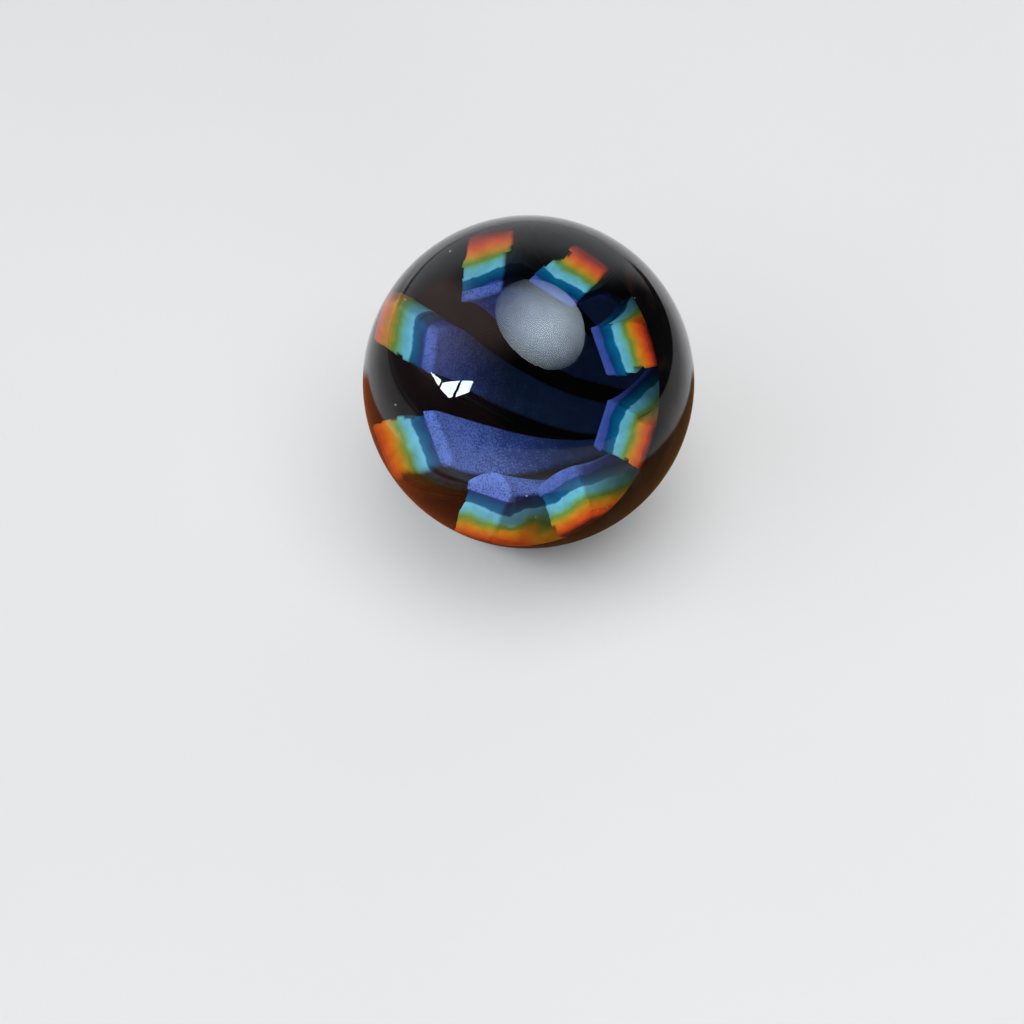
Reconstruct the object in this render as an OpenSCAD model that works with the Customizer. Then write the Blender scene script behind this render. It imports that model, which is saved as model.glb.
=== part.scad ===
// Glass marble: a solid ball with a clear window in front, a black glass back,
// and a ring of eight rainbow-striped bars that twist back to one gather.
// Millimetres. The origin is the centre of the ball and +Z is up. The window's
// own axis runs through the centre, and the shapes below are drawn along it.

/* [Ball] */
// Diameter of the ball
ball_d = 42; // [36:0.5:60]
// Turn of the window's axis to the left of straight ahead, in degrees
window_turn = 34; // [-180:1:180]
// Rise of the window's axis above the level, in degrees
window_rise = 31; // [-90:1:90]

/* [Black glass] */
// Thickness of the black glass at its mouth, from the bore out to the ball's surface
mouth_t = 5.7; // [4:0.1:7]
// Least thickness of the black glass behind the gather
back_t = 1; // [0.6:0.1:2]
// Clear glass between the bars' corners and the black glass
casing = 0.2; // [0.1:0.05:0.5]

/* [Bars] */
// Number of bars round the ring
bars = 8; // [5:1:9]
// Width of a bar at the front
bar_w = 4.2; // [3:0.1:5.5]
// Width of a bar at the gather, where there is room for it
bar_back_w = 2; // [1:0.1:3]
// Clear gap that stays between neighbouring bars at the gather
bar_gap = 0.12; // [0.04:0.02:0.3]
// Lean of the stacked stripes to one side in front, per millimetre of their depth
lean = 0.26; // [0:0.02:0.4]
// How far the front ends slope forward from their outer to their inner edge
front_slope = 2; // [0:0.1:3]
// Radius of the gather, inside the bars
gather_r = 0.8; // [0.6:0.1:1.5]
// Distance of the gather from the window's axis, sideways
gather_x = 2.5; // [-3:0.1:3]
// Distance of the gather from the window's axis, upward
gather_y = -1; // [-3:0.1:3]
// Turn of the bars from the front to the gather, in degrees
twist = 62; // [0:1:90]
// How late the turn comes: 1 spreads it evenly, more keeps it to the back
lateness = 1.6; // [1:0.1:2.5]
// Fullness of the bowl that the bars lie on: 1 is a straight cone, 2 a round bowl
fullness = 1.55; // [1.3:0.05:2]
// Place of the first bar round the ring, in degrees
first_bar = 132; // [-180:1:180]

/* [Stripes] */
// Thickness of the indigo glass, which lies innermost
indigo_t = 0.95; // [0.4:0.05:1.4]
// Thickness of the teal glass
teal_t = 1; // [0.4:0.05:1.4]
// Thickness of the sky blue glass
sky_t = 0.95; // [0.4:0.05:1.4]
// Thickness of the green glass
green_t = 0.55; // [0.3:0.05:1]
// Thickness of the yellow glass
yellow_t = 0.55; // [0.3:0.05:1]
// Thickness of the orange glass
orange_t = 0.7; // [0.3:0.05:1.2]
// Thickness of the red glass, which lies outermost
red_t = 0.8; // [0.3:0.05:1.2]
// Thickness of all the stripes together at the gather
gather_t = 1.6; // [1:0.1:2.5]

/* [Hidden] */
$fn = 96;

ball_r = ball_d / 2;
// Sections along a bar, from the front face to the gather
sections = 14;
// The bars were laid by hand, so in front each is turned round the ring and rolled about
// its own length by some degrees, and pressed in by up to a millimetre
hand_turn = [-3, -5, -2, 1, 1, 2, 5, 5, 0];
hand_roll = [-1, 3, 2, 1, 2, 2, -7, 9, 0];
hand_in = [0.9, 0.1, 0, 0, 0.3, 0, 0.7, 0.8, 0];
// Room that the uneven bars need from each other, in degrees
hand_room = 3;

// Depth of each stripe's two faces below the inner face of a bar
indigo_end = indigo_t;
teal_end = indigo_end + teal_t;
sky_end = teal_end + sky_t;
green_end = sky_end + green_t;
yellow_end = green_end + yellow_t;
orange_end = yellow_end + orange_t;
red_end = orange_end + red_t;

// Where a point of bar k lands when its unevenness has the share o: the point is given
// as [outward, sideways] from the middle of the stack
function laid(k, point, o) =
    let (roll = hand_roll[k % len(hand_roll)] * o, y = point.y - lean * point.x * o)
    [point.x * cos(roll) - y * sin(roll) - hand_in[k % len(hand_in)] * o,
     point.x * sin(roll) + y * cos(roll)];

// The ring is measured inward from the ball's surface, so that its furthest corner still
// clears the mouth of the black glass, and the gather from the ball's back
mouth_r = ball_r - mouth_t;
ring_r = min([for (k = [0:bars - 1], side = [-1, 1])
              let (p = laid(k, [red_end / 2, side * bar_w / 2], 1))
              sqrt(pow(mouth_r - casing, 2) - pow(p.y, 2)) - p.x]);
ring_in_r = ring_r - red_end / 2;
gather_off = norm([gather_x, gather_y]);
gather_bore_r = norm([gather_r + gather_t, bar_back_w / 2]) + gather_off + casing;
gather_depth = sqrt(pow(ball_r - back_t, 2) - pow(gather_bore_r, 2)) - casing;

// Two shares of the way along a bar: how deep it is (0 in front, 1 at the gather)
// and how open the bowl is (1 in front, 0 at the gather)
function depth(i) = pow(sin(90 * i / sections), 2 / fullness);
function open(i) = i == sections ? 0 : pow(cos(90 * i / sections), 2 / fullness);

// Radius of the bars' inner faces, the share of their thickness that the stripes keep,
// and the height of a face that lies d below the inner one
function inner_r(i) = gather_r + (ring_in_r - gather_r) * open(i);
function stack(i) = gather_t / red_end + (1 - gather_t / red_end) * open(i);
function face_h(i, d) = front_slope * (1 - d / red_end) - gather_depth * depth(i);

// Half the width of a bar, which narrows where the neighbours come close
function half_w(i) = min((bar_back_w + (bar_w - bar_back_w) * open(i)) / 2,
                         (inner_r(i) - max(hand_in) * open(i)) * tan(180 / bars - hand_room)
                         - bar_gap / 2);
function bar_turn(k, i) = first_bar - k * 360 / bars + hand_turn[k % len(hand_turn)] * open(i)
                          + twist * pow(depth(i), lateness);

// One corner of bar k at section i, d below its inner face, on its left (-1) or right (1):
// first as [outward, sideways] from the ring's axis, then in its place in the bowl
function flat_corner(k, i, d, side) =
    [inner_r(i) + red_end / 2 * stack(i), 0]
    + laid(k, [(d - red_end / 2) * stack(i), side * half_w(i)], open(i));
function corner(k, i, d, side) =
    let (a = bar_turn(k, i), p = flat_corner(k, i, d, side), off = pow(depth(i), lateness))
    [p.x * cos(a) - p.y * sin(a) + gather_x * off,
     p.x * sin(a) + p.y * cos(a) + gather_y * off,
     face_h(i, d)];

// A stripe of bar k between the depths d0 and d1, as one closed strip of sections
module stripe(k, d0, d1) {
    points = [for (i = [0:sections]) each
              [corner(k, i, d0, -1), corner(k, i, d0, 1), corner(k, i, d1, 1), corner(k, i, d1, -1)]];
    last = 4 * sections;
    sides = [for (i = [0:sections - 1], j = [0:3])
             let (a = 4 * i + j, b = 4 * i + (j + 1) % 4)
             each (j < 2 ? [[a, b + 4, b], [a, a + 4, b + 4]] : [[a, a + 4, b], [b, a + 4, b + 4]])];
    polyhedron(points = points,
               faces = concat([[0, 1, 2], [0, 2, 3]], sides,
                              [[last + 2, last + 1, last], [last + 3, last + 2, last]]),
               convexity = 6);
}

module ring_of(d0, d1) {
    for (k = [0:bars - 1]) stripe(k, d0, d1);
}

// Turns a shape drawn along the window's axis to where that axis points
module to_window() {
    rotate([90 - window_rise, 0, -window_turn]) children();
}

// The inside of the black glass: a bowl that clears the bars all round
module bowl() {
    wall = [for (i = [0:sections])
            let (reach = max([for (k = [0:bars - 1], side = [-1, 1]) norm(flat_corner(k, i, red_end, side))]))
            [reach + gather_off * pow(depth(i), lateness) + casing, face_h(i, red_end)]];
    bottom = -gather_depth - casing;
    rotate_extrude() polygon(concat([[0, 0]], wall, [[wall[sections][0], bottom], [0, bottom]]));
}

module clear_glass() {
    color([0.86, 0.92, 0.95, 0.3]) to_window() difference() {
        intersection() {
            sphere(r = ball_r);
            union() {
                translate([-ball_d, -ball_d, 0]) cube([2 * ball_d, 2 * ball_d, ball_d]);
                bowl();
            }
        }
        ring_of(0, red_end);
    }
}

module black_glass() {
    color([0.05, 0.045, 0.05]) to_window() difference() {
        sphere(r = ball_r);
        translate([-ball_d, -ball_d, 0]) cube([2 * ball_d, 2 * ball_d, ball_d]);
        bowl();
    }
}

module indigo_glass() {
    color([0.25, 0.29, 0.66]) to_window() ring_of(0, indigo_end);
}

module teal_glass() {
    color([0.02, 0.35, 0.5]) to_window() ring_of(indigo_end, teal_end);
}

module sky_glass() {
    color([0.38, 0.73, 0.82]) to_window() ring_of(teal_end, sky_end);
}

module green_glass() {
    color([0.42, 0.64, 0.3]) to_window() ring_of(sky_end, green_end);
}

module yellow_glass() {
    color([0.8, 0.66, 0.2]) to_window() ring_of(green_end, yellow_end);
}

module orange_glass() {
    color([0.87, 0.47, 0.13]) to_window() ring_of(yellow_end, orange_end);
}

module red_glass() {
    color([0.7, 0.17, 0.1]) to_window() ring_of(orange_end, red_end);
}

clear_glass();
black_glass();
indigo_glass();
teal_glass();
sky_glass();
green_glass();
yellow_glass();
orange_glass();
red_glass();
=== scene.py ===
# %% [markdown]
# # A glass marble with a vortex of rainbow bars
# The real thing is one solid ball of glass, 42 mm across. A maker builds a
# stack of seven coloured glasses, cuts it into bars, sets eight of them in a
# ring, twists and squeezes their far ends to one point (the gather), backs
# them with black glass and melts a thick clear dome over the front. Nothing
# moves and nothing is hollow. This lesson dresses that ball in Blender.
#
# The CAD frame already says where each glass lies, so we load it first.

# %% Load the frame
import math

import bmesh
import bpy
from mathutils import Matrix, Vector, noise


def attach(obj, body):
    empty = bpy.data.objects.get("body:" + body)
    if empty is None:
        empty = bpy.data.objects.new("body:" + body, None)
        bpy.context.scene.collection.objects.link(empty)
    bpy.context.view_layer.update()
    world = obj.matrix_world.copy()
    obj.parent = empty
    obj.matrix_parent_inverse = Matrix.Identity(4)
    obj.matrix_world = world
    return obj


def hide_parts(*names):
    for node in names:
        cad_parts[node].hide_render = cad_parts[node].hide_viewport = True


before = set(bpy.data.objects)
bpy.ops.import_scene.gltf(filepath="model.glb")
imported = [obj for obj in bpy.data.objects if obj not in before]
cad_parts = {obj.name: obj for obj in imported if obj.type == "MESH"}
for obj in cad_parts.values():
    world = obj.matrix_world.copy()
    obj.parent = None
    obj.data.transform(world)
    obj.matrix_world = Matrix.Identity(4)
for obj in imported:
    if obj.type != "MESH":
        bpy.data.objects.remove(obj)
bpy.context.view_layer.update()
print("glasses in the frame:", sorted(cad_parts))

# %% [markdown]
# ## Where we stand
# The ball is seen from in front and above, at 42 degrees, from seven radii
# away. A lens that close bulges the ball a little, which is half of the charm
# of a marble, so the distance matters as much as the angle. The camera could
# track an empty at the ball; three plain angles are simpler and leave no
# constraint behind.

# %% Camera
ball_r = 0.021
camera_rise = math.radians(42.1)
camera_away = 7.294 * ball_r
camera_angles = (41.78, 0.55, 0.55)
film_width, focal_length = 36.0, 41.87

lens = bpy.data.cameras.new("camera")
lens.sensor_width = film_width
lens.lens = focal_length
lens.clip_start = 0.005
camera = bpy.data.objects.new("camera", lens)
camera.location = camera_away * Vector((0, -math.cos(camera_rise), math.sin(camera_rise)))
camera.rotation_euler = [math.radians(a) for a in camera_angles]
bpy.context.collection.objects.link(camera)
bpy.context.scene.camera = camera
print("camera stands at", [round(1000 * c, 1) for c in camera.location], "mm")

# %% [markdown]
# ## The window's axis
# The clear dome is the marble's window. Its axis points to the viewer's left
# and upward. Every inner form is drawn with that axis as Z, where the ring is
# easy to describe, and one matrix turns it to its place. We bake the matrix
# into the mesh, so each object stays at the origin, unturned.

# %% Turn to the window, and a way to make a piece
window_turn, window_rise = 34, 31
to_window = Matrix.Rotation(math.radians(-window_turn), 4, "Z") @ Matrix.Rotation(
    math.radians(90 - window_rise), 4, "X"
)


def make_piece(name, bm, material, smooth=True):
    """Turns a finished bmesh into an object that lies in its mesh and wears one material."""
    mesh = bpy.data.meshes.new(name)
    bm.to_mesh(mesh)
    bm.free()
    for face in mesh.polygons:
        face.use_smooth = smooth
    mesh.set_sharp_from_angle(angle=math.radians(40))
    mesh.materials.append(material)
    piece = bpy.data.objects.new(name, mesh)
    bpy.context.collection.objects.link(piece)
    print(name, "has", sum(len(f.vertices) - 2 for f in mesh.polygons), "triangles")
    return piece


print("window looks along", [round(c, 3) for c in to_window @ Vector((0, 0, 1))])

# %% [markdown]
# ## Helpers for materials
# All finishes here are procedural. They read Object coordinates, which are in
# metres, so a noise scale of 1000 gives patches of about a millimetre. These
# small helpers add a node, set its values and link it, and keep the material
# cells short. A mask is a value from 0 to 1 that says where a finish lies, and
# the product of two masks is the place where both hold.

# %% Node helpers
def srgb(r, g, b):
    """A colour picked on screen (0 to 255) as the linear colour that a shader wants."""
    def linear(v):
        v /= 255
        return v / 12.92 if v <= 0.04045 else ((v + 0.055) / 1.055) ** 2.4
    return (linear(r), linear(g), linear(b), 1.0)


def new_material(name):
    """A material with one Principled shader, and its node tree."""
    material = bpy.data.materials.new(name)
    material.use_nodes = True
    return material, material.node_tree, material.node_tree.nodes["Principled BSDF"]


def add(tree, kind, inputs=None, **settings):
    """Adds a node, sets its properties, and sets or links its inputs."""
    node = tree.nodes.new("ShaderNode" + kind)
    for key, value in settings.items():
        setattr(node, key, value)
    for key, value in (inputs or {}).items():
        if isinstance(value, bpy.types.NodeSocket):
            tree.links.new(value, node.inputs[key])
        else:
            node.inputs[key].default_value = value
    return node


def ramp(tree, source, stops, interpolation="LINEAR"):
    """A colour ramp with the given (place, colour) stops."""
    node = add(tree, "ValToRGB", {"Fac": source})
    band = node.color_ramp
    band.interpolation = interpolation
    band.elements[0].position, band.elements[0].color = stops[0]
    band.elements[1].position, band.elements[1].color = stops[-1]
    for place, colour in stops[1:-1]:
        band.elements.new(place).color = colour
    return node.outputs["Color"]


def blend(tree, share, first, second, how="MIX"):
    """Mixes two colours by a share from 0 to 1."""
    node = add(tree, "Mix", data_type="RGBA", blend_type=how)
    for socket, value in ((node.inputs[0], share), (node.inputs[6], first), (node.inputs[7], second)):
        if isinstance(value, bpy.types.NodeSocket):
            tree.links.new(value, socket)
        else:
            socket.default_value = value
    return node.outputs[2]


def sums(tree, how, first, second, clamp=False):
    """One step of arithmetic on two values."""
    return add(tree, "Math", {0: first, 1: second}, operation=how, use_clamp=clamp).outputs[0]


def product(tree, first, *others):
    """Values multiplied together."""
    for other in others:
        first = sums(tree, "MULTIPLY", first, other)
    return first


def times_plus(tree, first, second, rest):
    """The first value times the second, plus the rest."""
    return add(tree, "Math", {0: first, 1: second, 2: rest}, operation="MULTIPLY_ADD").outputs[0]


def noise_at(tree, place, scale, detail=2.0):
    """A soft noise from 0 to 1 at a place."""
    return add(tree, "TexNoise", {"Vector": place, "Scale": scale, "Detail": detail}).outputs["Fac"]


def stretched(tree, value, low, high, to_low, to_high):
    """Maps the span from low to high onto the span from to_low to to_high, and stops at its ends."""
    reach = {"Value": value, "From Min": low, "From Max": high, "To Min": to_low, "To Max": to_high}
    return add(tree, "MapRange", reach).outputs["Result"]


def share_between(tree, value, low, high):
    """A mask that rises smoothly from 0 to 1 as a value goes from low to high."""
    reach = {"Value": value, "From Min": low, "From Max": high}
    return add(tree, "MapRange", reach, interpolation_type="SMOOTHSTEP").outputs["Result"]


print("mid grey on screen is", round(srgb(128, 128, 128)[0], 3), "in linear light")

# %% [markdown]
# ## Clear glass
# Where clear glass touches coloured glass there is no surface to see: light
# bends once, where it enters the ball. If we modelled the clear part with its
# own inner walls, the render would find air gaps there that the real ball
# doesn't have. So the clear piece is the whole ball, one closed skin, and
# every other glass lies inside it. An icosphere has no poles, which keeps the
# bent view through it even all over.
#
# The skin was polished in a flame, so it is dead smooth. A very low, wide
# bump stands for the slight waves that such a surface keeps.

# %% Clear glass
def clear_glass_finish():
    material, tree, glass = new_material("clear_glass")
    place = add(tree, "TexCoord").outputs["Object"]
    waves = noise_at(tree, place, 90.0, 1.0)
    bump = add(tree, "Bump", {"Height": waves, "Strength": 0.06, "Distance": 0.0004})
    tree.links.new(bump.outputs["Normal"], glass.inputs["Normal"])
    glass.inputs["Base Color"].default_value = (0.985, 0.992, 1.0, 1.0)
    glass.inputs["Roughness"].default_value = 0.0
    glass.inputs["IOR"].default_value = 1.47
    glass.inputs["Transmission Weight"].default_value = 1.0
    return material


bm = bmesh.new()
bmesh.ops.create_icosphere(bm, subdivisions=7, radius=ball_r)
clear = make_piece("clear_ball", bm, clear_glass_finish())
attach(clear, "root")
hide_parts("clear_glass")

# %% [markdown]
# ## The ring's measures
# These are the same lengths that the CAD source uses, in metres here. The
# bars were laid by hand while the glass was hot, so each one is turned round
# the ring and rolled about its own length by some degrees, pressed in a
# little, and its stripes lean to one side. The ring is as wide as its
# furthest corner allows inside the black glass, so it always fits the ball.

# %% Measures
mm = 0.001
mouth_t, back_t, casing = 5.7 * mm, 1.0 * mm, 0.2 * mm
bars, bar_w, bar_back_w, bar_gap = 8, 4.2 * mm, 2.0 * mm, 0.12 * mm
lean, front_slope = 0.26, 2.0 * mm
gather_r, gather_x, gather_y, gather_t = 0.8 * mm, 2.5 * mm, -1.0 * mm, 1.6 * mm
twist, lateness, fullness, first_bar = 62, 1.6, 1.55, 132
hand_turn = (-3, -5, -2, 1, 1, 2, 5, 5)
hand_roll = (-1, 3, 2, 1, 2, 2, -7, 9)
hand_in = (0.9 * mm, 0.1 * mm, 0, 0, 0.3 * mm, 0, 0.7 * mm, 0.8 * mm)
hand_room = 3
stripe_t = {
    "indigo": 0.95 * mm, "teal": 1.0 * mm, "sky": 0.95 * mm, "green": 0.55 * mm,
    "yellow": 0.55 * mm, "orange": 0.7 * mm, "red": 0.8 * mm,
}
stack_t = sum(stripe_t.values())


def laid(bar, outward, sideways, share):
    """Where a point lands, from the middle of its bar's stack, with a share of the unevenness."""
    roll = math.radians(hand_roll[bar] * share)
    sideways -= lean * outward * share
    return (
        outward * math.cos(roll) - sideways * math.sin(roll) - hand_in[bar] * share,
        outward * math.sin(roll) + sideways * math.cos(roll),
    )


mouth_r = ball_r - mouth_t
limits = []
for bar in range(bars):
    for side in (-1, 1):
        outward, sideways = laid(bar, stack_t / 2, side * bar_w / 2, 1)
        limits.append(math.sqrt((mouth_r - casing) ** 2 - sideways**2) - outward)
ring_r = min(limits)
ring_in_r = ring_r - stack_t / 2
gather_off = math.hypot(gather_x, gather_y)
gather_bore_r = math.hypot(gather_r + gather_t, bar_back_w / 2) + gather_off + casing
gather_depth = math.sqrt((ball_r - back_t) ** 2 - gather_bore_r**2) - casing
print("the bars' ring has a radius of", round(ring_r / mm, 2), "mm")
print("the gather lies", round(gather_depth / mm, 2), "mm deep")

# %% [markdown]
# ## The course of a bar
# A bar starts flat in the ring and runs back, first nearly straight, then
# closing like the wall of a bowl while it twists. One number, s, says how far
# along we are: 0 at the front face, 1 at the gather. Two shares follow from
# it: how deep we are, and how open the bowl still is.

# %% Course of a bar
def deep_at(s):
    return math.sin(math.pi / 2 * s) ** (2 / fullness)


def open_at(s):
    return 0.0 if s >= 1 else math.cos(math.pi / 2 * s) ** (2 / fullness)


def inner_r_at(s):
    return gather_r + (ring_in_r - gather_r) * open_at(s)


def stack_at(s):
    """The share of its thickness that the stack keeps, at s."""
    return gather_t / stack_t + (1 - gather_t / stack_t) * open_at(s)


def face_h_at(s, d):
    return front_slope * (1 - d / stack_t) - gather_depth * deep_at(s)


def half_w_at(s):
    inner = inner_r_at(s) - max(hand_in) * open_at(s)
    room = inner * math.tan(math.radians(180 / bars - hand_room)) - bar_gap / 2
    return min((bar_back_w + (bar_w - bar_back_w) * open_at(s)) / 2, room)


def flat_point(bar, s, d, across_w):
    """A point of a bar as outward and sideways from the ring's axis, before the bar takes its turn."""
    outward, sideways = laid(bar, (d - stack_t / 2) * stack_at(s), across_w, open_at(s))
    return Vector((inner_r_at(s) + stack_t / 2 * stack_at(s) + outward, sideways, 0))


def bar_point(bar, s, d, across_w):
    """A point of a bar: s along it, d under its inner face, across_w from its middle."""
    turn = math.radians(
        first_bar - bar * 360 / bars + hand_turn[bar] * open_at(s) + twist * deep_at(s) ** lateness
    )
    off = deep_at(s) ** lateness
    flat = Matrix.Rotation(turn, 4, "Z") @ flat_point(bar, s, d, across_w)
    return flat + Vector((gather_x * off, gather_y * off, face_h_at(s, d)))


print("first bar starts at", [round(c / mm, 2) for c in bar_point(0, 0, 0, 0)], "mm")

# %% [markdown]
# ## Black glass
# The back half of the ball is black. In section it is a crescent: the ball's
# outline outside, the bowl that holds the bars inside, and a flat face across
# the middle of the ball. A crescent that goes round an axis is a job for
# spin. We start with one vertex behind the ball, spin it a quarter turn to
# draw the outline, extrude it inward along the flat face and down the bowl's
# wall, and then spin the whole line round.
#
# The line stops a hair inside the ball, so the clear skin gives it its gloss.

# %% Black glass
def spun_vertex(bm, start, steps):
    """Draws a quarter circle from a vertex behind the ball up to its middle."""
    drawn = bmesh.ops.spin(
        bm, geom=[start], cent=(0, 0, 0), axis=(0, -1, 0),
        angle=math.pi / 2, steps=steps, use_merge=False,
    )
    return [g for g in drawn["geom_last"] if isinstance(g, bmesh.types.BMVert)][0]


def extruded_to(bm, vertex, place):
    """Extrudes a vertex to a new place and returns the new one."""
    grown = bmesh.ops.extrude_vert_indiv(bm, verts=[vertex])["verts"][0]
    grown.co = place
    return grown


under_skin = 0.03 * mm
outline_steps, wall_steps, round_steps = 48, 40, 128


def wall_r_at(s):
    """The radius of the bowl's wall at s, just outside the bars' outermost corners."""
    sides = [side * half_w_at(s) for side in (-1, 1)]
    corners = [flat_point(bar, s, stack_t, side).length for bar in range(bars) for side in sides]
    return max(corners) + gather_off * deep_at(s) ** lateness + casing


def black_glass_form():
    bm = bmesh.new()
    back = bmesh.ops.create_vert(bm, co=(0, 0, -(ball_r - under_skin)))["vert"][0]
    tip = spun_vertex(bm, back, outline_steps)
    for share in (0.75, 0.5, 0.25):
        tip = extruded_to(bm, tip, (mouth_r + share * mouth_t, 0, 0))
    for step in range(wall_steps + 1):
        s = step / wall_steps
        tip = extruded_to(bm, tip, (wall_r_at(s), 0, face_h_at(s, stack_t)))
    for share in (1.0, 0.5, 0.0):
        tip = extruded_to(bm, tip, (share * gather_bore_r, 0, -gather_depth - casing))
    bmesh.ops.spin(
        bm, geom=bm.verts[:] + bm.edges[:], cent=(0, 0, 0), axis=(0, 0, 1),
        angle=2 * math.pi, steps=round_steps, use_merge=True,
    )
    bmesh.ops.remove_doubles(bm, verts=bm.verts, dist=0.001 * mm)
    bmesh.ops.recalc_face_normals(bm, faces=bm.faces)
    bmesh.ops.transform(bm, matrix=to_window, verts=bm.verts)
    return bm


bm = black_glass_form()
print("open edges on the black glass:", sum(1 for e in bm.edges if not e.is_manifold))

# %% [markdown]
# Black glass isn't quite black. Held to a lamp it is a very deep brown with
# smoky streaks, and inside the bowl some of that brown shows. Two noises, a
# wide one and a stretched one, mix near-black with that brown, and a soft
# spot beside the first bar, where the black lies thinner, is plainly brown.
# The gloss comes from the clear skin over it, so the black itself has none.

# %% Black glass finish
thin_spot = tuple(to_window @ Vector((-12.5 * mm, 2 * mm, -7 * mm)))
thin_edge = (11 * mm, 5 * mm)


def black_glass_finish():
    material, tree, glass = new_material("black_glass")
    place = add(tree, "TexCoord").outputs["Object"]
    clouds = noise_at(tree, place, 160.0, 3.0)
    long_way = add(tree, "Mapping", {"Vector": place, "Scale": (1.0, 1.0, 0.25)}).outputs["Vector"]
    smoke = product(tree, clouds, noise_at(tree, long_way, 320.0))
    colour = ramp(tree, smoke, [
        (0.12, srgb(3, 3, 4)), (0.27, srgb(12, 9, 9)), (0.42, srgb(46, 29, 20)),
    ])
    apart = add(tree, "VectorMath", {0: place, 1: thin_spot}, operation="DISTANCE").outputs["Value"]
    thin = product(tree, share_between(tree, apart, *thin_edge), share_between(tree, clouds, 0.3, 0.6))
    colour = blend(tree, thin, colour, srgb(78, 60, 50))
    tree.links.new(colour, glass.inputs["Base Color"])
    glass.inputs["Roughness"].default_value = 0.25
    glass.inputs["Specular IOR Level"].default_value = 0.0
    return material


black = make_piece("black_back", bm, black_glass_finish())
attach(black, "root")
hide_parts("black_glass")

# %% [markdown]
# ## Rainbow bars
# Each bar is a stack of seven glasses that were laid by hand, so their edges
# don't quite line up and the bar's sides wave a little. A modifier could
# displace a plain bar, but we want each layer to shift on its own. So we grow
# all eight bars of one colour together: a small grid for each front face,
# then one extrusion after another, and after each we set the new vertices
# down on the bar's course. Every vertex carries its bar, its depth in the
# stack and its side, and the extrusion copies those for us.
#
# First come the marks of the flame. It rounds every corner, and most of all
# the lip, where the indigo face meets the front face. Some bars came out
# wider or narrower than planned. On some the indigo ran forward into a thick
# cap, most of all on the sixth. Each list has one number for each bar, and
# the bars are counted clockwise from the top left.

# %% Rounded corners and thick caps
inner_round, outer_round, front_round = 0.35 * mm, 0.35 * mm, 0.25 * mm
lip_round = [r * mm for r in (0.5, 0.4, 0.4, 0.4, 0.5, 0.7, 0.75, 0.75)]
hand_wide = [w * mm for w in (0.1, 0.15, 0.15, 0.15, 0, -0.1, -0.1, -0.3)]
thick_cap = [c * mm for c in (0.1, 0, 0, 0, 0.3, 1.5, 0.3, 0.2)]


def rounded(near, radius):
    """How far an edge draws in at this distance from a corner of that radius."""
    if near >= radius:
        return 0.0
    return radius - math.sqrt(max(radius**2 - (radius - near) ** 2, 0.0))


def cap_lift(s, d, cap):
    """How far a cap lifts the indigo toward the ring's axis; it ends a third of the way in."""
    return cap * max(1 - 3 * s, 0) * max(1 - d / stripe_t["indigo"], 0)


print("a corner draws in", round(rounded(0, inner_round) / mm, 2), "mm")

# %% [markdown]
# Then the marks of the hand. Every layer's edge steps a little in or out of
# line, and on some bars a layer is plainly misplaced. The two bars on the
# left also swell sideways along their length. A noise gives the small steps
# and waves, and lists give the plain ones, because those are what the eye
# remembers of a bar. All of them fade out toward the gather.

# %% Steps, waves and swells
step_reach, wave_reach = 0.42 * mm, 0.32 * mm
least_half_w = 0.3 * mm
plain_swell = (0.1 * mm, 0)
# For a bar and side: how far it swells out all along, and how far out in front and in again behind
swells = {
    (6, -1): (0.05 * mm, 0.55 * mm), (6, 1): (-0.2 * mm, 0.95 * mm),
    (7, -1): (0.2 * mm, 0.7 * mm), (7, 1): (0.6 * mm, -0.3 * mm),
}
# For a bar and side: how many millimetres each layer stands out, from indigo to red
jogs = {
    (0, -1): (0.0, -0.3, -0.4, -0.35, 0.0, 0.3, 0.4), (1, 1): (0.9, 0.75, 0.7, 0.1, -0.3, -0.4, 0.0),
    (2, -1): (0.5, 0.6, 0.1, -0.2, -0.3, -0.1, 0.0), (3, -1): (0.4, 0.3, 0.0, 0.0, 0.0, 0.0, 0.0),
    (4, -1): (0.35, 0.35, 0.35, 0.35, 0.35, 0.35, 0.35), (6, -1): (0.8, 0.35, 0.0, 0.0, 0.0, 0.0, 0.0),
}


def hand_step(bar, colour, s, side):
    """How far the edge of one layer stands out past its neighbours, or back from them."""
    step = noise.noise(Vector((5.3 * bar + 0.5, 2.7 * colour + 0.3, 4.1 * side)))
    return step_reach * step * max(1 - 2 * s, 0)


def side_wave(bar, s, d, side):
    """The slow wave of a bar's side along its length."""
    return wave_reach * noise.noise(Vector((5.5 * s + 3.1 * bar, 500 * d, 2.3 * side)))


def jog(bar, colour, s, side):
    """How far one layer was misplaced by the hand that laid it, which the heat healed further in."""
    return jogs.get((bar, side), (0,) * 7)[colour] * mm * max(1 - 2.5 * s, 0) ** 2


def side_swell(bar, s, side):
    """How far a bar's side swells out between its front and the gather."""
    whole, in_front = swells.get((bar, side), plain_swell)
    turn = math.pi * s**0.8
    return whole * math.sin(turn) + in_front * math.sin(2 * turn)


def laid_point(bar, colour, s, behind, d, side, cap):
    """Where a point on a layer's edge really lies: on the bar's course, with all those marks."""
    pulled = rounded(behind, front_round)
    down = min(max(d, rounded(behind, lip_round[bar])), stack_t - pulled)
    reach = half_w_at(s) - max(rounded(down, inner_round), rounded(stack_t - d, outer_round)) - pulled
    reach += (hand_wide[bar] + hand_step(bar, colour, s, side) + side_wave(bar, s, d, side)) * open_at(s)
    reach = max(reach + side_swell(bar, s, side) + jog(bar, colour, s, side), least_half_w)
    return bar_point(bar, s, down - cap_lift(s, d, cap), side * reach)


corner = laid_point(0, 0, 0, 0, 0, 1, 0)
print("the first bar's inner corner lies at", [round(c / mm, 2) for c in corner], "mm")

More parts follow.
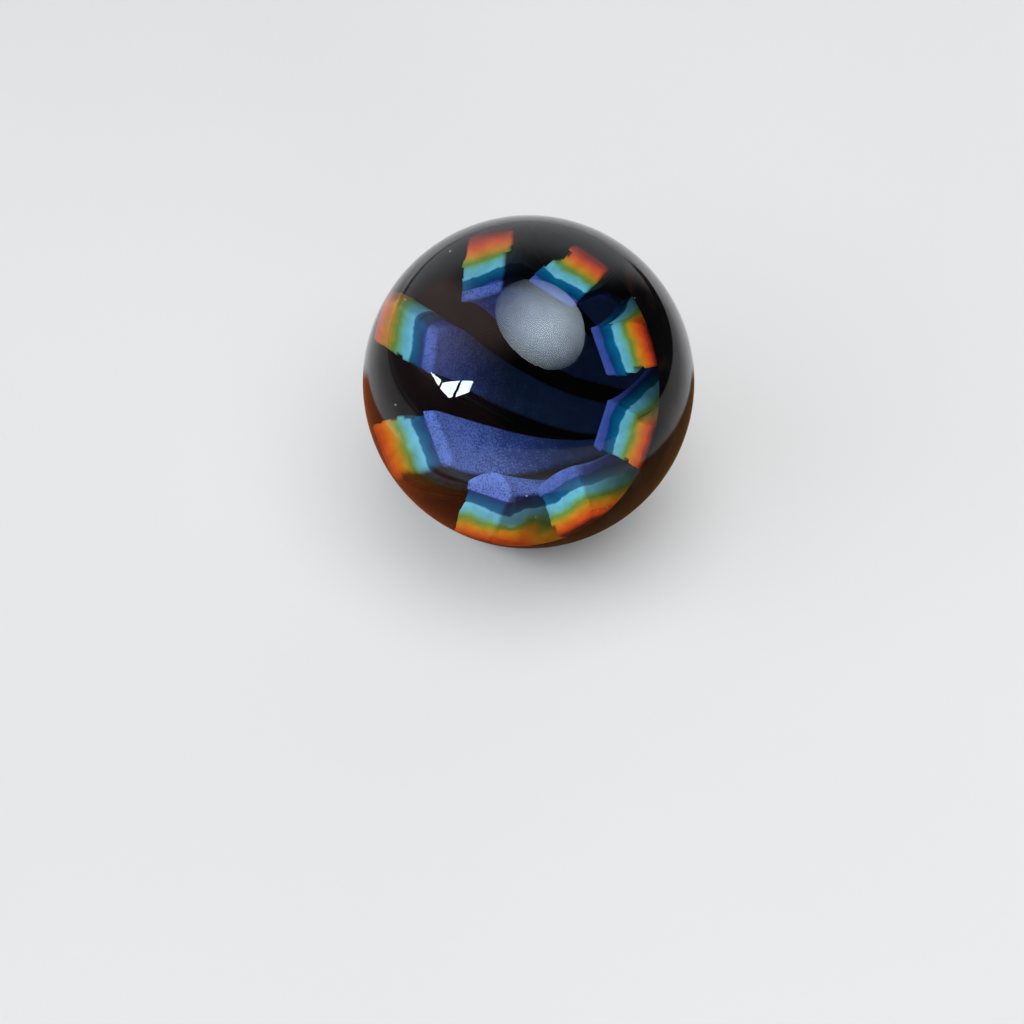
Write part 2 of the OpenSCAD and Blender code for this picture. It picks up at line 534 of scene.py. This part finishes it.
# %% [markdown]
# The front ends want close sections, where they are rounded, and the rest of
# the bar wants even ones.

# %% Sections along a bar
def s_behind(distance):
    """The s of a section that lies this far behind the front face."""
    return 2 / math.pi * math.asin((distance / gather_depth) ** (fullness / 2))


close = [b * mm for b in (0.0, 0.015, 0.05, 0.11, 0.22, 0.36, 0.55)]
close_end = 0.7 * mm
even = 44
sections = [(s_behind(b), b) for b in close]
for i in range(1, even + 1):
    behind = gather_depth * deep_at(i / even)
    if behind > close_end:
        sections.append((i / even, behind))
print(len(sections), "sections along each bar")

# %% [markdown]
# Now the growing itself. The grid's own x and y run from -1 to 1, and we read
# them as depth and side. Extra lines near the edges keep the rounding crisp.

# %% Grow the bars of one colour
side_lines = (-1.0, -0.97, -0.9, -0.6, -0.2, 0.2, 0.6, 0.9, 0.97, 1.0)
near_lines = [n * mm for n in (0.02, 0.08, 0.18, 0.32, 0.5)]


def depth_lines(d0, d1):
    """Lines through a layer, closer together where the bar's corners are rounded."""
    lines = {d0, (d0 + d1) / 2, d1}
    for near in near_lines:
        lines |= {d for d in (near, stack_t - near) if d0 < d < d1}
    return sorted(lines)


def front_grid(bm, lines, bar, keep):
    """A grid for one front face, whose vertices know where they belong."""
    made = bmesh.ops.create_grid(bm, x_segments=len(lines) - 1, y_segments=len(side_lines) - 1, size=1.0)
    for vert in made["verts"]:
        column = round((vert.co.x + 1) / 2 * (len(lines) - 1))
        row = round((vert.co.y + 1) / 2 * (len(side_lines) - 1))
        vert[keep["bar"]], vert[keep["depth"]] = float(bar), lines[column]
        vert[keep["side"]], vert[keep["across"]] = side_lines[row], lines[column] / stack_t


def placed(vert, keep, colour, s, behind):
    """The place of a grid vertex, between the two laid edges of its layer."""
    bar, depth, side = round(vert[keep["bar"]]), vert[keep["depth"]], vert[keep["side"]]
    cap = thick_cap[bar] * (1 - side**2)
    left = laid_point(bar, colour, s, behind, depth, -1, cap)
    right = laid_point(bar, colour, s, behind, depth, 1, cap)
    return left.lerp(right, (side + 1) / 2)


def grow_bars(colour, d0, d1):
    bm = bmesh.new()
    keep = {n: bm.verts.layers.float.new(n) for n in ("bar", "depth", "side", "across", "along")}
    for bar in range(bars):
        front_grid(bm, depth_lines(d0, d1), bar, keep)
    tops = bm.faces[:]
    fresh = bm.verts[:]
    for number, (s, behind) in enumerate(sections):
        if number:
            grown = bmesh.ops.extrude_face_region(bm, geom=tops)["geom"]
            tops = [g for g in grown if isinstance(g, bmesh.types.BMFace)]
            fresh = [g for g in grown if isinstance(g, bmesh.types.BMVert)]
        for vert in fresh:
            vert[keep["along"]] = gather_depth * deep_at(s)
            vert.co = placed(vert, keep, colour, s, behind)
    bmesh.ops.recalc_face_normals(bm, faces=bm.faces)
    bmesh.ops.transform(bm, matrix=to_window, verts=bm.verts)
    return bm


print("lines through the indigo:", len(depth_lines(0.0, stripe_t["indigo"])))

# %% [markdown]
# ## Coloured glass
# All seven colours share one recipe. The attribute "across" says how deep a
# point lies in the stack, and a ramp turns that into colour. The heat has let
# some neighbours run into each other, from green to red, while teal against
# sky stayed crisp. A little noise on the way into the ramp makes the joints
# wander. Because every layer reads the same ramp, the colours meet without a
# step where two pieces touch.
#
# No two bars came out alike, so lists give each bar its own numbers again. A
# ramp with hard steps, read by the attribute that counts the bars, hands them
# out. On a bar the colours may sit a little further in or out than planned,
# and the joints may tilt from side to side. On its flanks, which the torch
# reached, they may have slipped inward and been stirred.

# %% Where a point lies in the stack
joint_sway = 0.16
# Over 1 the colours sit further in, and under 1 further out
squeeze = (1.02, 1.05, 0.97, 0.95, 0.96, 0.93, 0.9, 0.87)
tilt = (0.035, 0, 0, 0, 0, 0, 0, 0)
slip = (0, 0, 0.17, 0.06, 0, 0.18, 0, 0)
stirred = (0, 0, 0, 0, 0, 0.5, 0, 0)


def number_on(tree, name):
    """A number that the mesh keeps at each vertex."""
    return add(tree, "Attribute", attribute_name=name).outputs["Fac"]


def per_bar(tree, numbers):
    """Gives each bar its own number, from 0 up, by the attribute that counts the bars."""
    which = sums(tree, "DIVIDE", sums(tree, "ADD", number_on(tree, "bar"), 0.5), float(bars))
    steps = [(i / bars, (n, n, n, 1)) for i, n in enumerate(numbers)]
    return ramp(tree, which, steps, "CONSTANT")


def flank_mask(tree, along, side, start, full):
    """1 on the two flanks of a bar, from some way behind the front face."""
    at_side = share_between(tree, sums(tree, "ABSOLUTE", side, 0.0), 0.97, 1.0)
    return product(tree, at_side, share_between(tree, along, start, full))


def depth_in_stack(tree, across, along, side):
    """Where in the stack a point takes its colour: 0 at the inner face, 1 at the outer one."""
    run = add(tree, "CombineXYZ", {
        "X": sums(tree, "MULTIPLY", side, 0.8),
        "Y": sums(tree, "MULTIPLY", along, 160.0),
        "Z": times_plus(tree, number_on(tree, "bar"), 5.1, across),
    }).outputs["Vector"]
    wander = sums(tree, "SUBTRACT", noise_at(tree, run, 1.6), 0.5)
    flank = flank_mask(tree, along, side, 0.5 * mm, 1.1 * mm)
    sway = times_plus(tree, flank, per_bar(tree, stirred), joint_sway)
    depth = times_plus(tree, wander, sway, across)
    depth = times_plus(tree, side, per_bar(tree, tilt), depth)
    slipped = product(tree, per_bar(tree, slip), sums(tree, "SUBTRACT", 1.0, across))
    depth = times_plus(tree, flank, slipped, depth)
    return product(tree, depth, per_bar(tree, squeeze))


print("on a front face a joint wanders by", round(joint_sway * stack_t / 2 / mm, 2), "mm at most")

# %% [markdown]
# The ramp itself runs from the indigo face inside to the red one outside. A
# cloudy noise then lightens and darkens the glass a little, as hand-mixed
# glass is never quite even, and a list paints light on each bar, as bright as it is lit.
#
# Toward the gather the bars lie deep in the bowl, in shade, and that shade
# is painted: the colour dims with the distance along the bar. Two of the
# bars lie further in the shade, and for them the painted shade starts sooner.

# %% Stripes, clouds, painted light and painted deep shade
stripe_stops = [
    (0.000, srgb(60, 83, 157)), (0.150, srgb(54, 74, 152)), (0.185, srgb(4, 60, 108)),
    (0.350, srgb(8, 101, 142)), (0.376, srgb(112, 191, 218)), (0.490, srgb(101, 185, 194)),
    (0.535, srgb(112, 170, 128)), (0.585, srgb(104, 148, 68)), (0.630, srgb(150, 148, 50)),
    (0.690, srgb(206, 146, 38)), (0.795, srgb(226, 106, 30)), (0.875, srgb(212, 76, 30)),
    (1.000, srgb(142, 36, 28)),
]
cloud_stops = [(0.3, (0.82, 0.82, 0.82, 1)), (0.7, (1.1, 1.1, 1.1, 1))]
# painted light: how brightly each bar is lit, as a factor on its colour
painted_light_per_bar = (0.93, 1.0, 1.05, 1.05, 1.4, 1.3, 1.2, 1.1)
# painted shade toward the gather: its tint, where it starts and is full, its strength on each bar, and
# how much sooner it starts on two bars
painted_shade_tint = (0.17, 0.24, 0.15, 1.0)
painted_shade_start, painted_shade_full = 4 * mm, 14 * mm
painted_shade_per_bar = (0.95, 0.95, 0.9, 0.9, 0.88, 0.6, 0.8, 0.95)
earlier_shade_per_bar = (0, 0, 0, 0, 0.5, 0, 0, 0.4)
earlier_shade_by = 10 * mm


def stripe_colour(tree, place, depth):
    """The colour of the stack at a depth, with its clouds and the light painted on each bar."""
    shade = ramp(tree, noise_at(tree, place, 900.0, 4.0), cloud_stops)
    colour = blend(tree, 1.0, ramp(tree, depth, stripe_stops), shade, "MULTIPLY")
    return blend(tree, 1.0, colour, per_bar(tree, painted_light_per_bar), "MULTIPLY")


def paint_shade_inward(tree, along, colour):
    """Paints shade on a colour toward the gather."""
    far_in = times_plus(tree, per_bar(tree, earlier_shade_per_bar), earlier_shade_by, along)
    shaded = product(tree, share_between(tree, far_in, painted_shade_start, painted_shade_full), per_bar(tree, painted_shade_per_bar))
    return blend(tree, shaded, colour, blend(tree, 1.0, colour, painted_shade_tint, "MULTIPLY"))


print(len(stripe_stops), "stops colour the stack of", round(stack_t / mm, 2), "mm")

# %% [markdown]
# ## Painted shade on the sides, and frost
# The sides of the bars are darker than the front faces, and on some bars
# nearly black: that is painted shade, for the sides lie in shadow. The
# attribute "side" tells a side from the rest. On the eighth bar the upper
# side is left without the painted shade. Low in the ring, on the fifth and
# the sixth bar, the dome gathers light on the outer colours of the sides,
# and that light is painted in as a warm glow.
#
# The indigo face was rolled in fine white powder before the ring was closed.
# It lies thickest near the front and thins out toward the gather, and some
# bars took much more of it than others. A fine noise, stretched until it is
# nearly black and white, gives the grains, and the distance along the bar
# thins them. A wider noise lets the powder lie in drifts.

# %% Painted side shade and glow, and frost on the indigo
# painted shade on the sides of the bars, and a painted warm glow low in the ring
painted_side_shade = (0.12, 0.13, 0.12, 1.0)
side_shade_per_bar = (0.97, 0.9, 0.0, 0.15, 0.1, 0.2, 0.93, 0.93)
unshaded_side_per_bar = (0, 0, 0, 0, 0, 0, 0, 1)
glow = (2.9, 2.3, 1.5, 1)
painted_glow_per_bar = (0, 0, 0, 0, 0.3, 1.0, 0, 0)
frosted = (0.4, 0.1, 0.0, 0.05, 0.4, 1.0, 0.75, 0.45)
powder = srgb(114, 145, 230)


def paint_side_shade_and_glow(tree, across, along, side, colour):
    """Paints shade on the sides of the bars, and a warm glow on the outer colours where the light
    gathers.
    """
    sideways = sums(tree, "ABSOLUTE", side, 0.0)
    edge = product(
        tree, share_between(tree, sideways, 0.86, 0.97),
        share_between(tree, along, 0.05 * mm, 0.6 * mm), share_between(tree, across, 0.02, 0.09),
    )
    warm = product(tree, edge, share_between(tree, across, 0.45, 0.75), per_bar(tree, painted_glow_per_bar))
    colour = blend(tree, warm, colour, blend(tree, 1.0, colour, glow, "MULTIPLY"))
    shaded_side = share_between(tree, product(tree, side, per_bar(tree, unshaded_side_per_bar)), -0.9, -0.5)
    side_shade = product(tree, edge, per_bar(tree, side_shade_per_bar), shaded_side)
    return blend(tree, side_shade, colour, blend(tree, 1.0, colour, painted_side_shade, "MULTIPLY"))


def frost(tree, place, across, along, side, colour):
    """Dusts the indigo with grains of powder, but not the layer's own cut sides."""
    thinning = stretched(tree, along, 2 * mm, 13 * mm, 0.13, -0.12)
    lift = sums(tree, "ADD", noise_at(tree, place, 6500.0, 3.0), thinning)
    lift = times_plus(tree, noise_at(tree, place, 900.0), 0.18, lift)
    grain = stretched(tree, lift, 0.6, 0.73, 0.0, 0.95)
    flank = flank_mask(tree, along, side, 0.6 * mm, 1.2 * mm)
    bare = product(tree, flank, share_between(tree, across, 0.02, 0.07))
    share = product(tree, grain, per_bar(tree, frosted), sums(tree, "SUBTRACT", 1.0, bare))
    return blend(tree, share, colour, powder)


print("bars that took much frost:", [bar + 1 for bar in range(bars) if frosted[bar] > 0.5])

# %% [markdown]
# ## The seven stripes
# Now the recipe is put together, and each colour is grown, dressed and said
# to replace its own solids in the frame. Only the indigo is powdered.

# %% Coloured glass and the stripes
def coloured_glass_finish(name, powdered):
    material, tree, glass = new_material(name)
    place = add(tree, "TexCoord").outputs["Object"]
    across, along, side = (number_on(tree, n) for n in ("across", "along", "side"))
    colour = stripe_colour(tree, place, depth_in_stack(tree, across, along, side))
    if powdered:
        colour = frost(tree, place, across, along, side, colour)
    colour = paint_shade_inward(tree, along, colour)
    colour = paint_side_shade_and_glow(tree, across, along, side, colour)
    tree.links.new(colour, glass.inputs["Base Color"])
    glass.inputs["Roughness"].default_value = 0.4
    glass.inputs["Specular IOR Level"].default_value = 0.0
    return material


depth_so_far = 0.0
for number, (colour, thick) in enumerate(stripe_t.items()):
    bm = grow_bars(number, depth_so_far, depth_so_far + thick)
    depth_so_far += thick
    finish = coloured_glass_finish(colour + "_glass", powdered=colour == "indigo")
    stripe = make_piece(colour + "_stripes", bm, finish)
    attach(stripe, "root")
    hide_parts(colour + "_glass")

# %% [markdown]
# ## Seed bubbles
# Lampwork traps a few pinhead bubbles where the bars' corners met the clear
# glass. They are specks of air, which shine by the light they reflect, and
# that pale shine is painted into their colour. A handful of tiny icospheres
# is enough, and each has few faces.

# %% Seed bubbles
def bubble_finish():
    material, tree, glass = new_material("bubble_skin")
    place = add(tree, "TexCoord").outputs["Object"]
    fine = noise_at(tree, place, 9000.0)
    # painted sheen: the pale colour stands for light reflected by the air
    colour = ramp(tree, fine, [(0.3, srgb(150, 160, 170)), (0.7, srgb(225, 230, 235))])
    tree.links.new(colour, glass.inputs["Base Color"])
    glass.inputs["Roughness"].default_value = 0.2
    return material


bubble_r, bubble_r_spread, bubble_height = 0.08, 0.04, 1.2
# Places across the window, in millimetres from its axis
bubble_places = (
    (12.1, -8.6), (13.3, -8.1), (5.3, -10.8), (3.7, -9.1), (9.4, 13.7),
    (-6.5, 6.1), (-10.6, 8.5), (-12.5, 2.6), (-13.1, 2.2), (-10.2, -5.8),
)
bm = bmesh.new()
for number, (x, y) in enumerate(bubble_places):
    spot = Matrix.Translation((x * mm, y * mm, bubble_height * mm))
    size = (bubble_r + bubble_r_spread * noise.noise(Vector((number * 1.9, 0.3, 0.4)))) * mm
    bmesh.ops.create_icosphere(bm, subdivisions=2, radius=size, matrix=to_window @ spot)
bubbles = make_piece("seed_bubbles", bm, bubble_finish())
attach(bubbles, "root")

# %% [markdown]
# ## Floor
# A marble lies on one point. The floor is a plain pale sheet at the bottom of
# the ball, wide enough that its far edge stays low in the ball's reflections.
#
# The lower rim of a marble takes its colour from the floor that it mirrors,
# and a bare sheet would leave that rim empty. So the sheet has tones, but
# only for rays that left a mirror image, which the Light Path node tells
# apart. They are those of a small wooden stand in a bright room: warm wood
# round the ball, white beyond it that greys to both sides, and a dark end on
# each side, the left one with a thin pale line across it.

# %% The floor's mirror image
floor_z = -ball_r
wood_centre = (-0.005, 0, floor_z)
# Where each tone begins and where it is full, in metres: +x is to the right and +y behind the ball.
# The right-hand grey and the back of the right-hand end are read on a slant, x less half of y.
wood_edge, wood_back, wood_left = (0.057, 0.051), (0.031, 0.024), (0.012, -0.02)
grey_right, grey_left, white_back = (0.03, 0.08), (-0.03, -0.14), (0.14, 0.22)
left_end, right_end, right_end_back = (-0.25, -0.262), (0.158, 0.168), (-0.02, 0.06)
line_x, line_edge = -0.42, (0.015, 0.03)


def mirror_ray(tree):
    """1 for a ray that left a mirror image, 0 for one that came straight or through glass."""
    path = add(tree, "LightPath").outputs
    return sums(tree, "SUBTRACT", path["Is Glossy Ray"], path["Is Transmission Ray"], clamp=True)


def floor_image(tree, place):
    """The colours of the floor for mirror rays alone."""
    x, y = (add(tree, "SeparateXYZ", {"Vector": place}).outputs[axis] for axis in "XY")
    skew = times_plus(tree, y, -0.5, x)
    grey = sums(tree, "ADD", share_between(tree, skew, *grey_right), share_between(tree, x, *grey_left))
    grey = sums(tree, "SUBTRACT", grey, share_between(tree, y, *white_back), clamp=True)
    image = blend(tree, grey, srgb(236, 236, 238), srgb(178, 176, 177))
    off_line = sums(tree, "ABSOLUTE", sums(tree, "SUBTRACT", x, line_x), 0.0)
    left = product(tree, share_between(tree, x, *left_end), share_between(tree, off_line, *line_edge))
    image = blend(tree, left, image, srgb(100, 88, 94))
    right = product(tree, share_between(tree, x, *right_end), share_between(tree, skew, *right_end_back))
    image = blend(tree, right, image, srgb(24, 24, 26))
    away = add(tree, "VectorMath", {0: place, 1: wood_centre}, operation="DISTANCE").outputs["Value"]
    near = product(tree, share_between(tree, away, *wood_edge), share_between(tree, y, *wood_back))
    wood = blend(tree, share_between(tree, x, *wood_left), srgb(118, 78, 42), srgb(180, 92, 50))
    return blend(tree, near, image, wood)


print("the mirrored wood reaches", round(1000 * wood_edge[0]), "mm from its middle")

# %% [markdown]
# Rays that reach the floor through the glass find it plain. Light that has
# bounced off a bar on its way there finds it dimmer and browner, so the floor
# doesn't flood the dark bowl with white light. All other rays find it pale.

# %% Floor
floor_r = 1.2


def floor_finish():
    material, tree, paint = new_material("pale_floor")
    place = add(tree, "TexCoord").outputs["Object"]
    soft = noise_at(tree, place, 6.0)
    pale = ramp(tree, soft, [(0.3, (0.84, 0.84, 0.84, 1)), (0.7, (0.88, 0.88, 0.88, 1))])
    path = add(tree, "LightPath").outputs
    bounced = sums(tree, "MINIMUM", path["Diffuse Depth"], 1.0)
    through = blend(tree, bounced, srgb(214, 213, 212), srgb(150, 140, 130))
    colour = blend(tree, path["Is Transmission Ray"], pale, through)
    colour = blend(tree, mirror_ray(tree), colour, floor_image(tree, place))
    tree.links.new(colour, paint.inputs["Base Color"])
    paint.inputs["Roughness"].default_value = 0.9
    paint.inputs["Specular IOR Level"].default_value = 0.1
    return material


bm = bmesh.new()
bmesh.ops.create_circle(bm, cap_ends=True, segments=96, radius=floor_r)
bmesh.ops.translate(bm, vec=(0, 0, floor_z), verts=bm.verts)
floor = make_piece("floor", bm, floor_finish(), smooth=False)

# %% [markdown]
# ## Light
# Glass is seen by what it reflects and bends, and a photographer lights those
# two apart: one soft source shines on the subject, and cards held beside it
# draw the shapes in its gloss. We do the same. The lamp overhead lights the
# floor and, through the dome, the bars, but shows in no mirror image.

# %% Lamp
def soft_lamp(name, place, size, radiance):
    """A round flat lamp at a place, facing the ball, of a given brightness per area."""
    data = bpy.data.lights.new(name, "AREA")
    data.shape = "ELLIPSE"
    data.size, data.size_y = size
    data.energy = radiance * math.pi * (math.pi / 4 * size[0] * size[1])
    lamp = bpy.data.objects.new(name, data)
    lamp.location = place
    lamp.rotation_euler = Vector(place).to_track_quat("Z", "Y").to_euler()
    lamp.visible_camera = False
    lamp.visible_glossy = False
    bpy.context.collection.objects.link(lamp)
    print(name, "gives", round(data.energy, 2), "W")


soft_lamp("overhead", (0.16, -0.18, 0.85), (0.86, 1.3), 2.1)

# %% [markdown]
# ## Cards for the mirror images
# Two cards glow for mirror rays alone: a wide oval skylight, faintly cloudy
# and brightest in its middle, and a small window of three panes low on the
# left. The skylight's own place is its centre, its turn and its two radii. A
# Mapping node of type Texture undoes that place, so the glow can fade along
# the oval's own axes.

# %% Finish of the mirror cards
def faded(tree, place, own_place, level):
    """Lets a card's glow fade from its middle out, along its own two axes."""
    centre, turn, radii = own_place
    flat = add(tree, "Mapping", {
        "Vector": place, "Location": centre, "Rotation": (0, 0, turn), "Scale": (*radii, 1),
    }, vector_type="TEXTURE").outputs["Vector"]
    flat = add(tree, "SeparateXYZ", {"Vector": flat}).outputs
    for axis, edge in (("X", 1.8), ("Y", 1.2)):
        off = sums(tree, "ABSOLUTE", flat[axis], 0.0)
        level = product(tree, level, share_between(tree, off, edge, -0.1))
    return level


def card_finish(name, glow, tint, own_place=None):
    """A faintly cloudy glow, which fades from the middle out on a card with its own place."""
    material = bpy.data.materials.new(name)
    material.use_nodes = True
    tree = material.node_tree
    tree.nodes.remove(tree.nodes["Principled BSDF"])
    place = add(tree, "TexCoord").outputs["Object"]
    cloud = stretched(tree, noise_at(tree, place, 9.0, 4.0), 0.3, 0.7, 0.87, 1.13)
    level = sums(tree, "MULTIPLY", cloud, glow)
    if own_place:
        level = faded(tree, place, own_place, level)
    shine = add(tree, "Emission", {"Color": tint, "Strength": level})
    tree.links.new(shine.outputs[0], tree.nodes["Material Output"].inputs["Surface"])
    return material


skylight_own = ((0.196, -0.171, 1.0), math.radians(33.4), (0.486, 0.673))
skylight = card_finish("skylight", 11.5, (0.8, 0.97, 1.13, 1), skylight_own)
window = card_finish("window", 30.0, (0.84, 0.96, 1.08, 1))
print("finishes of the cards:", skylight.name, "and", window.name)

# %% [markdown]
# The skylight is an oval a metre above the ball, and the window's panes stand
# a metre out at the left front. They are drawn flat round their own middles,
# and one matrix for each carries them out to their places.

# %% The two cards
def mirror_card(name, bm, finish):
    card = make_piece(name, bm, finish, smooth=False)
    card.visible_camera = card.visible_diffuse = False
    card.visible_transmission = card.visible_shadow = False


centre, turn, radii = skylight_own
bm = bmesh.new()
oval = Matrix.Translation(centre) @ Matrix.Rotation(turn, 4, "Z") @ Matrix.Diagonal((*radii, 1, 1))
bmesh.ops.create_circle(bm, cap_ends=True, segments=64, radius=1.0, matrix=oval)
mirror_card("skylight_image", bm, skylight)

window_side = Vector((-0.776, -0.478, 0.412)).normalized()
to_pane = Matrix.Translation(window_side) @ window_side.to_track_quat("Z", "Y").to_matrix().to_4x4()
panes = (
    ((-0.33, -0.06), (-0.148, -0.03), (-0.148, -0.10)),
    ((-0.125, -0.048), (0.045, 0.098), (0.062, -0.09), (0.03, -0.13), (-0.115, -0.11)),
    ((0.073, 0.115), (0.19, 0.20), (0.21, 0.06), (0.09, -0.085)),
)
bm = bmesh.new()
for pane in panes:
    corners = [bmesh.ops.create_vert(bm, co=to_pane @ Vector((x, y, 0)))["vert"][0] for x, y in pane]
    bmesh.ops.contextual_create(bm, geom=corners)
mirror_card("window_image", bm, window)

# %% [markdown]
# ## The room
# The world does the rest. Light that passes through the glass finds a dim
# room that is bright toward the window and behind the ball, and the dome
# bends that second light down onto the lowest bars. A mirror image finds a
# dark room, with a warm wall on the left, that opens into white daylight
# behind the ball. The camera sees plain white.

# %% World
def room_through_glass(tree, toward, parts):
    """The room for light that passes through the glass or falls on the floor."""
    facing = add(tree, "VectorMath", {0: toward, 1: tuple(window_side)}, operation="DOT_PRODUCT")
    at_window = share_between(tree, facing.outputs["Value"], 0.6, 0.95)
    fill = blend(tree, at_window, (0.18, 0.18, 0.185, 1), (1.1, 1.12, 1.15, 1))
    behind = product(
        tree, share_between(tree, parts["Y"], 0.2, 0.7), share_between(tree, parts["Z"], 0.8, 0.3)
    )
    return blend(tree, behind, fill, (1.1, 1.1, 1.1, 1))


def room_mirrored(tree, toward, parts):
    """The room for mirror images."""
    to_left = share_between(tree, parts["X"], -0.1, -0.6)
    image = blend(tree, to_left, (0.02, 0.02, 0.023, 1), (0.12, 0.08, 0.1, 1))
    day = product(
        tree, share_between(tree, parts["Y"], 0.35, 0.85),
        share_between(tree, parts["Z"], 0.95, 0.4), share_between(tree, parts["X"], 0.72, 0.5),
    )
    image = blend(tree, day, image, (0.52, 0.54, 0.57, 1))
    skew = add(tree, "VectorMath", {0: toward, 1: (1.0, 0.45, 0.0)}, operation="DOT_PRODUCT")
    wall = product(
        tree, share_between(tree, skew.outputs["Value"], -0.2, -0.45),
        share_between(tree, parts["Z"], 0.1, 0.55), share_between(tree, parts["Y"], -0.6, -0.05),
    )
    return blend(tree, wall, image, (0.76, 0.56, 0.52, 1))


world = bpy.data.worlds.new("room")
bpy.context.scene.world = world
world.use_nodes = True
tree = world.node_tree
background = tree.nodes["Background"]
toward = add(tree, "TexCoord").outputs["Generated"]
parts = add(tree, "SeparateXYZ", {"Vector": toward}).outputs
fill = room_through_glass(tree, toward, parts)
seen = blend(tree, mirror_ray(tree), fill, room_mirrored(tree, toward, parts))
seen = blend(tree, add(tree, "LightPath").outputs["Is Camera Ray"], seen, (1, 1, 1, 1))
tree.links.new(seen, background.inputs["Color"])
background.inputs["Strength"].default_value = 1.0
print("the room is drawn with", len(tree.nodes), "nodes")

# %% [markdown]
# ## Compare the sizes and finish
# The view transform Standard shows colours as they were mixed. Then we
# measure our own pieces and keep both boxes side by side, and the frame
# checks that every piece says where it belongs.

# %% Compare the sizes and finish
bpy.context.scene.view_settings.view_transform = "Standard"
